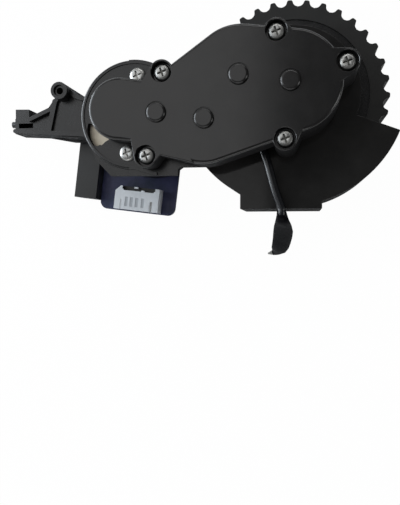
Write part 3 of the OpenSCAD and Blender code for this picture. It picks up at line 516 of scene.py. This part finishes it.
# gearbox body: wider motor window, lower and rounded rim of the motor pocket, arm with shallow pockets and
# a higher tab
baseValues = {
    "window": [(14.9, -14.3), (14.5, -16.4), (15.0, -19.3), (16.4, -21.7), (18.2, -22.1), (22.3, -20.0),
               (20.2, -14.6)],
    "deck": (33.05, 36.6),
    "windowMiddle": (17.8, -18.2),
    "canEdge": 0.2,
    "canLip": (centres["motor"], 16.4, 33.1, 33.97),  # centre, radius that it starts from, two levels
    "canLipShare": 0.99,  # of the window's outline
    "pocket": (centres["motor"], 18.4, 36.78, 0.8),  # centre, radius, top and edge of the rim
    "pocketOver": 0.004,
    "rimMargin": 0.2,
    "rimBox": ((7, -33), (29.5, 10), (35.9, 38.5)),
    "rimInner": 16.9,
    "rimKept": [(38, 20), (38, -5), (33.5, -5), (33.5, -40), (60, -40), (60, 20)],  # under the cover's lobes
    "armFill": [(-5.2, -15.0), (1.0, -16.3), (13.5, -17.2), (13.5, -3.0), (7.2, -2.6), (4.5, -1.6),
                (2.2, 0.3), (-1.6, -0.9), (-3.3, -5.0)],
    "armFillHigh": (14.5, 21.7),
    "endFill": [(-10.4, -14.6), (-4.6, -15.0), (-3.2, -5.2), (-10.4, -8.9)],
    "endFillHigh": (14.5, 21.0),
    "slotFill": [(-18.1, -12.5), (-12.2, -12.5), (-12.2, -10.5), (-18.1, -10.5)],
    "slotFillHigh": (17.5, 20.3),
    "tab": [(-19.2, -9.2), (-13.9, -9.2), (-13.9, -5.45), (-19.2, -5.3)],
    "tabHigh": (13.0, 20.99),
    "edge": 0.25,
}


def prism(corners, low, top):
    # upright block over a closed line of corners
    deselectAll()
    bpy.ops.mesh.primitive_circle_add(vertices=len(corners), radius=1, fill_type="NGON")
    block = bpy.context.object
    area = sum(a[0] * b[1] - b[0] * a[1] for a, b in zip(corners, corners[1:] + corners[:1]))
    turned = corners if area > 0 else corners[::-1]
    for vertex, corner in zip(block.data.vertices, turned):
        vertex.co = metres((*corner, low))
    bpy.ops.object.mode_set(mode="EDIT")
    bpy.ops.mesh.select_all(action="SELECT")
    bpy.ops.mesh.extrude_region_move(TRANSFORM_OT_translate={"value": (0, 0, (top - low) * mm)})
    bpy.ops.mesh.select_all(action="SELECT")
    bpy.ops.mesh.normals_make_consistent(inside=False)
    bpy.ops.object.mode_set(mode="OBJECT")
    return block


def makeBase():
    values = baseValues
    piece = copyNode("gearbox_base")
    for form in ("armFill", "endFill", "slotFill", "tab"):
        cutWith(piece, prism(values[form], *values[form + "High"]), "UNION")
    cutWith(piece, prism(values["window"], *values["deck"]), "DIFFERENCE")
    roundEdges(piece, values["edge"])
    clear, over = shapeValues["clear"], values["pocketOver"]
    (left, front), (right, back), (low, high) = values["rimBox"]
    centre, radius, top, edge = values["pocket"]
    lowered = ring(centre, values["rimInner"], radius + values["rimMargin"], top, top + 2 * clear)
    cutWith(lowered, prism(values["rimKept"], top - clear, top + 3 * clear), "DIFFERENCE")
    cutWith(piece, lowered, "DIFFERENCE")
    cutter = prism([(left, front), (right, front), (right, back), (left, back)], low, high)
    cutWith(cutter, roundedDisc(centre, radius + over, low - 3 * clear, top + over, edge), "DIFFERENCE")
    cutWith(piece, cutter, "DIFFERENCE")
    return seat(piece, "gearbox_base", "basePlastic")


def makeCan():
    # the can's face has a lip that fills the outer side of the window
    values = baseValues
    piece = copyNode("motor_can")
    roundEdges(piece, values["canEdge"])
    clear, share = shapeValues["clear"], values["canLipShare"]
    centre, radius, low, high = values["canLip"]
    middle = Vector(values["windowMiddle"])
    inset = [tuple(middle + (Vector(corner) - middle) * share) for corner in values["window"]]
    lip = prism(inset, low, high)
    cutWith(lip, plainDisc(centre, radius, low - clear, high + clear), "DIFFERENCE")
    cutWith(piece, lip, "UNION")
    return seat(piece, "motor_can", "canSteel")


# tyre: one outline of round-tipped lugs, drawn up to the tyre's width
tyreValues = {
    "centre": centres["wheel"],
    "radius": 32.998,
    "width": 22.0,
    "lugs": 35,
    "turn": 9.0,
    "root": 30.8,  # radius of the floor between two lugs
    "tipHalf": 0.95,
    "tipRound": 0.6,
    "baseHalf": 1.0,
    "footRound": 1.75,
    "tipTurn": (90, 8),  # degrees that the round of the tip and of the foot run through
    "footTurn": (188, 262),
    "roundSteps": 4,
    "floorShare": 0.99,
    "rimRadius": 26.405,
    "rimHigh": (-19, 41),  # of the tool that opens the tyre for the rim
    "edge": 0.5,
    "edgeSegments": 3,
}


def arc(centre, radius, start, end, steps):
    turns = [math.radians(start + (end - start) * step / steps) for step in range(steps + 1)]
    return [(centre[0] + radius * math.cos(turn), centre[1] + radius * math.sin(turn)) for turn in turns]


def lugHalf():
    # across and out, from the middle of a lug's tip to the middle of the floor beside it
    values = tyreValues
    tip, foot, steps = values["tipRound"], values["footRound"], values["roundSteps"]
    half = [(0.0, values["radius"])]
    half += arc((values["tipHalf"] - tip, values["radius"] - tip), tip, *values["tipTurn"], steps)
    half += arc((values["baseHalf"] + foot, values["root"] + foot), foot, *values["footTurn"], steps)
    floor = math.pi / values["lugs"]
    half.append((values["root"] * math.sin(floor) * values["floorShare"], values["root"] * math.cos(floor)))
    return half


def makeTyre():
    values = tyreValues
    half = lugHalf()
    whole = [(-across, out) for across, out in reversed(half[1:])] + half
    corners = []
    for lug in range(values["lugs"]):
        turn = math.radians(values["turn"] + lug * 360 / values["lugs"])
        for across, out in whole:
            corners.append((values["centre"][0] + out * math.cos(turn) - across * math.sin(turn),
                            values["centre"][1] + out * math.sin(turn) + across * math.cos(turn)))
    tyre = prism(corners, 0.0, values["width"])
    roundEdges(tyre, values["edge"], values["edgeSegments"], shapeValues["discBevelAngle"])
    cutWith(tyre, plainDisc(values["centre"], values["rimRadius"], *values["rimHigh"]), "DIFFERENCE")
    tyre.name = "tyre_piece"
    return seat(tyre, "tyre", "rubber")


# header: its back runs in a comb and its top carries four shallow windows, in the board's own axes
headerValues = {
    "origin": centres["motor"],
    "turn": -7.0,
    "comb": [(-8.7, -4.0, 1.15), (-2.5, 4.3, 1.15)],  # from, to and depth along the back edge
    "combHigh": 1.9,
    "combLit": 0.15,  # depth below the top down to which the comb stays white; deeper, its inside is painted black as shade
    "combSlack": (0.1, 0.05),  # across and along, for faces on the comb's own sides
    "windowSlack": 0.02,
    "back": -22.8,
    "windows": [-6.65, -4.65, -2.55, -0.2],
    "window": (1.15, -30.5, -26.9, 0.1),  # width, near end, far end, depth
    "plug": (-9.05, -7.95, -31.75, -27.7, 8.55, 10.46),  # closes the left latch slot
    "top": 10.6,
    "edge": 0.2,
}


def boardBox(left, right, near, far, low, high):
    turn = math.radians(headerValues["turn"])
    corners = [(headerValues["origin"][0] + u * math.cos(turn) - v * math.sin(turn),
                headerValues["origin"][1] + u * math.sin(turn) + v * math.cos(turn))
               for u, v in ((left, near), (right, near), (right, far), (left, far))]
    return prism(corners, low, high)


def onBoard(point):
    turn = math.radians(headerValues["turn"])
    across, along = point.x - headerValues["origin"][0], point.y - headerValues["origin"][1]
    return across * math.cos(turn) + along * math.sin(turn), along * math.cos(turn) - across * math.sin(turn)


def makeHeader():
    values = headerValues
    top, back = values["top"], values["back"]
    over = top + shapeValues["clear"]
    piece = copyNode("board_connector")
    roundEdges(piece, values["edge"])
    for left, right, deep in values["comb"]:
        slot = boardBox(left, right, back - deep, back + shapeValues["clear"], top - values["combHigh"], over)
        cutWith(piece, slot, "DIFFERENCE")
    width, near, far, deepWindow = values["window"]
    for middle in values["windows"]:
        window = boardBox(middle - width / 2, middle + width / 2, near, far, top - deepWindow, over)
        cutWith(piece, window, "DIFFERENCE")
    cutWith(piece, boardBox(*values["plug"]), "UNION")
    seat(piece, "board_connector", "nylon")
    for material in ("chip", "nylonPaintedShade"):
        piece.data.materials.append(finishes[material])
    beside, behind = values["combSlack"]
    for face in piece.data.polygons:  # painted shade: the inside of the comb is painted black and the floors of the windows grey
        across, along = onBoard(face.center / mm)
        inComb = any(left - beside < across < right + beside and along > back - deep - behind
                     for left, right, deep in values["comb"])
        offFloor = abs(face.center.z - (top - deepWindow) * mm)
        if inComb and face.center.z < (top - values["combLit"]) * mm:
            face.material_index = 1
        elif offFloor < values["windowSlack"] * mm and face.normal.z > shapeValues["topNormal"]:
            face.material_index = 2
    return piece


# hub: its rim is closed inwards by a flat flange under the guard's plate
hubValues = {"centre": centres["wheel"], "flange": (22.4, 25.0), "high": (20.4, 21.395), "edge": 0.25}


def makeHub():
    piece = copyNode("wheel_hub")
    cutWith(piece, ring(hubValues["centre"], *hubValues["flange"], *hubValues["high"]), "UNION")
    roundEdges(piece, hubValues["edge"])
    return seat(piece, "wheel_hub", "basePlastic")


def paintWallShade(piece):
    # painted shade: upright walls get a darker, matte copy of the plastic, while the tops and the rounded
    # edges keep the glossy one
    piece.data.materials.append(finishes["wallPaintedShade"])
    for face in piece.data.polygons:
        if abs(face.normal.z) < shapeValues["wallNormal"]:
            face.material_index = len(piece.data.materials) - 1


screwTopValues = {
    "smallest": 1.2e-6,  # square metres
    "above": 37.01,  # mm, just over the floor of the motor screws' recess, which stays bright
}


def darkenTops(piece):
    # the flat middle of every screw head gets a darker, rougher zinc than its rim
    piece.data.materials.append(finishes["zincTop"])
    for face in piece.data.polygons:
        isTop = face.normal.z > shapeValues["topNormal"] and face.center.z / mm > screwTopValues["above"]
        if isTop and face.area > screwTopValues["smallest"]:
            face.material_index = 1


# CAD pieces with their finish, the radius that their edges get and its steps
dressing = {
    "wheel_guard": ("guardPlastic", 0.5, 3),
    "end_cover": ("boxPlastic", 0.3, 2),
    "hub_cap": ("basePlastic", 0.3, 2),
    "encoder_board": ("boardMask", 0.12, 2),
    "cover_screws": ("zinc", 0.12, 2),
    "motor_screws": ("zinc", 0.12, 2),
    "board_screws": ("zinc", 0.08, 2),
    "guard_screws": ("zinc", 0.1, 2),
    "hub_screw": ("zinc", 0.1, 2),
    "hub_washer": ("zinc", 0.08, 2),
    "motor_end_bell": ("nylon", 0.2, 2),
    "hall_sensor": ("chip", 0.08, 2),
    "connector_pins": ("brass", 0.08, 1),
    "lead_sleeve": ("sleeveSkin", 0.0, 1),
    "lead_tip": ("zinc", 0.15, 2),
}
# hidden CAD pieces, which only get their finish
plain = {
    "gear_pins": "steel", "axle_bush": "bronze", "cover_bush": "bronze", "output_axle": "steel",
    "output_gear": "acetal", "axle_clip": "steel", "compound_gear_3": "acetal", "compound_gear_2": "acetal",
    "compound_gear_1": "acetal", "motor_magnets": "ferrite", "motor_bushes": "bronze",
    "motor_terminals": "brass", "motor_shaft": "steel", "motor_armature": "winding", "motor_pinion": "brass",
    "encoder_magnet": "ferrite",
}
pieces = {}
pieces["gearbox_cover"] = makeCover()
print("cover made", len(pieces["gearbox_cover"].data.polygons))
pieces["gearbox_base"] = makeBase()
pieces["motor_can"] = makeCan()
pieces["tyre"] = makeTyre()
pieces["board_connector"] = makeHeader()
pieces["wheel_hub"] = makeHub()
print("gearbox body, tyre, header and hub made")
for nodeName, (material, width, segments) in dressing.items():
    pieces[nodeName] = dress(nodeName, material, width, segments)
    print("dressed", nodeName, len(pieces[nodeName].data.polygons))
# painted shade on the upright walls of the cover, the gearbox body and the guard
for nodeName in ("gearbox_cover", "gearbox_base", "wheel_guard"):
    paintWallShade(pieces[nodeName])
for nodeName in ("cover_screws", "motor_screws"):
    darkenTops(pieces[nodeName])
for nodeName, material in plain.items():
    node = nodes[nodeName]
    node.data.materials.clear()
    node.data.materials.append(finishes[material])


# floor and light: pale walls, brightest on the left, a dark ceiling, a level panel high on the left, two
# large soft boxes on the left and weaker ones behind, on the right and in front
stageValues = {
    "floorSize": 3.0,
    "floorColour": (0.93, 0.93, 0.93),
    "floorRough": 0.9,
    "floorShine": 0.1,
    "floorWhite": 0.98,  # share of plain white that the floor shows to the camera
    "leftWall": 1.0,
    "rightWall": 0.1,
    "ceiling": 0.12,
    "wallSpan": (-0.5, 0.3),  # left to right share over which the walls get darker
    "heightSpan": (0.3, 0.62),  # upward share over which they fade into the ceiling
    "lamps": {  # place mm, size mm, watts, aimed at the middle of the module
        "highPanel": ((-178, 175, 644), (440, 450), 0.65),
        "leftLow": ((-420, 60, 82), (420, 150), 2.0),
        "leftHigh": ((-420, 60, 370), (420, 400), 1.5),
        "backBox": ((120, 420, 300), (420, 160), 0.55),
        "rightBox": ((480, -100, 220), (160, 260), 0.3),
        "frontBox": ((100, -460, 200), (420, 160), 0.35),
    },
    "lampColours": {"leftLow": (0.86, 0.93, 1.0), "leftHigh": (0.86, 0.93, 1.0)},
    "levelLamps": ("highPanel",),  # not aimed, they lie level
    "aim": (60, -10, 20),
}


def makeFloor():
    deselectAll()
    bpy.ops.mesh.primitive_plane_add(size=stageValues["floorSize"], location=(0, 0, 0))
    floor = bpy.context.object
    floor.name = "floor"
    material = bpy.data.materials.new("paleFloor")
    material.use_nodes = True
    tree = material.node_tree
    shader = tree.nodes["Principled BSDF"]
    shader.inputs["Base Color"].default_value = (*stageValues["floorColour"], 1.0)
    shader.inputs["Roughness"].default_value = stageValues["floorRough"]
    shader.inputs["Specular IOR Level"].default_value = stageValues["floorShine"]
    white = nodeOf(tree, "ShaderNodeEmission")
    mixed = nodeOf(tree, "ShaderNodeMixShader")
    seen = nodeOf(tree, "ShaderNodeLightPath").outputs["Is Camera Ray"]
    tree.links.new(mathOf(tree, "MULTIPLY", seen, stageValues["floorWhite"]), mixed.inputs[0])
    tree.links.new(shader.outputs[0], mixed.inputs[1])
    tree.links.new(white.outputs[0], mixed.inputs[2])
    tree.links.new(mixed.outputs[0], tree.nodes["Material Output"].inputs["Surface"])
    floor.data.materials.append(material)


def makeLamps():
    for lampName, (place, size, watts) in stageValues["lamps"].items():
        bpy.ops.object.light_add(type="AREA", location=metres(place))
        lamp = bpy.context.object
        lamp.name = lampName
        lamp.data.shape = "RECTANGLE"
        lamp.data.size, lamp.data.size_y = metres(size)
        lamp.data.energy = watts
        lamp.data.color = stageValues["lampColours"].get(lampName, (1.0, 1.0, 1.0))
        if lampName in stageValues["levelLamps"]:
            continue
        way = Vector(metres(stageValues["aim"])) - lamp.location
        lamp.rotation_euler = way.to_track_quat("-Z", "Y").to_euler()


def makeRoom():
    # the world is bright round the horizon and dark overhead
    world = bpy.data.worlds.new("room")
    bpy.context.scene.world = world
    world.use_nodes = True
    tree = world.node_tree
    background = tree.nodes["Background"]
    split = nodeOf(tree, "ShaderNodeSeparateXYZ")
    tree.links.new(nodeOf(tree, "ShaderNodeTexCoord").outputs["Generated"], split.inputs[0])
    wall = spread(tree, split.outputs["X"], stageValues["leftWall"], stageValues["rightWall"],
                  *stageValues["wallSpan"])
    low = spread(tree, split.outputs["Z"], 1.0, 0.0, *stageValues["heightSpan"])
    strength = mathOf(tree, "MAXIMUM", mathOf(tree, "MULTIPLY", wall, low), stageValues["ceiling"])
    seen = nodeOf(tree, "ShaderNodeLightPath").outputs["Is Camera Ray"]  # the backdrop itself stays white
    tree.links.new(mathOf(tree, "MAXIMUM", strength, seen), background.inputs["Strength"])
    background.inputs["Color"].default_value = (1.0, 1.0, 1.0, 1.0)


makeFloor()
makeLamps()
makeRoom()
print("stage set")
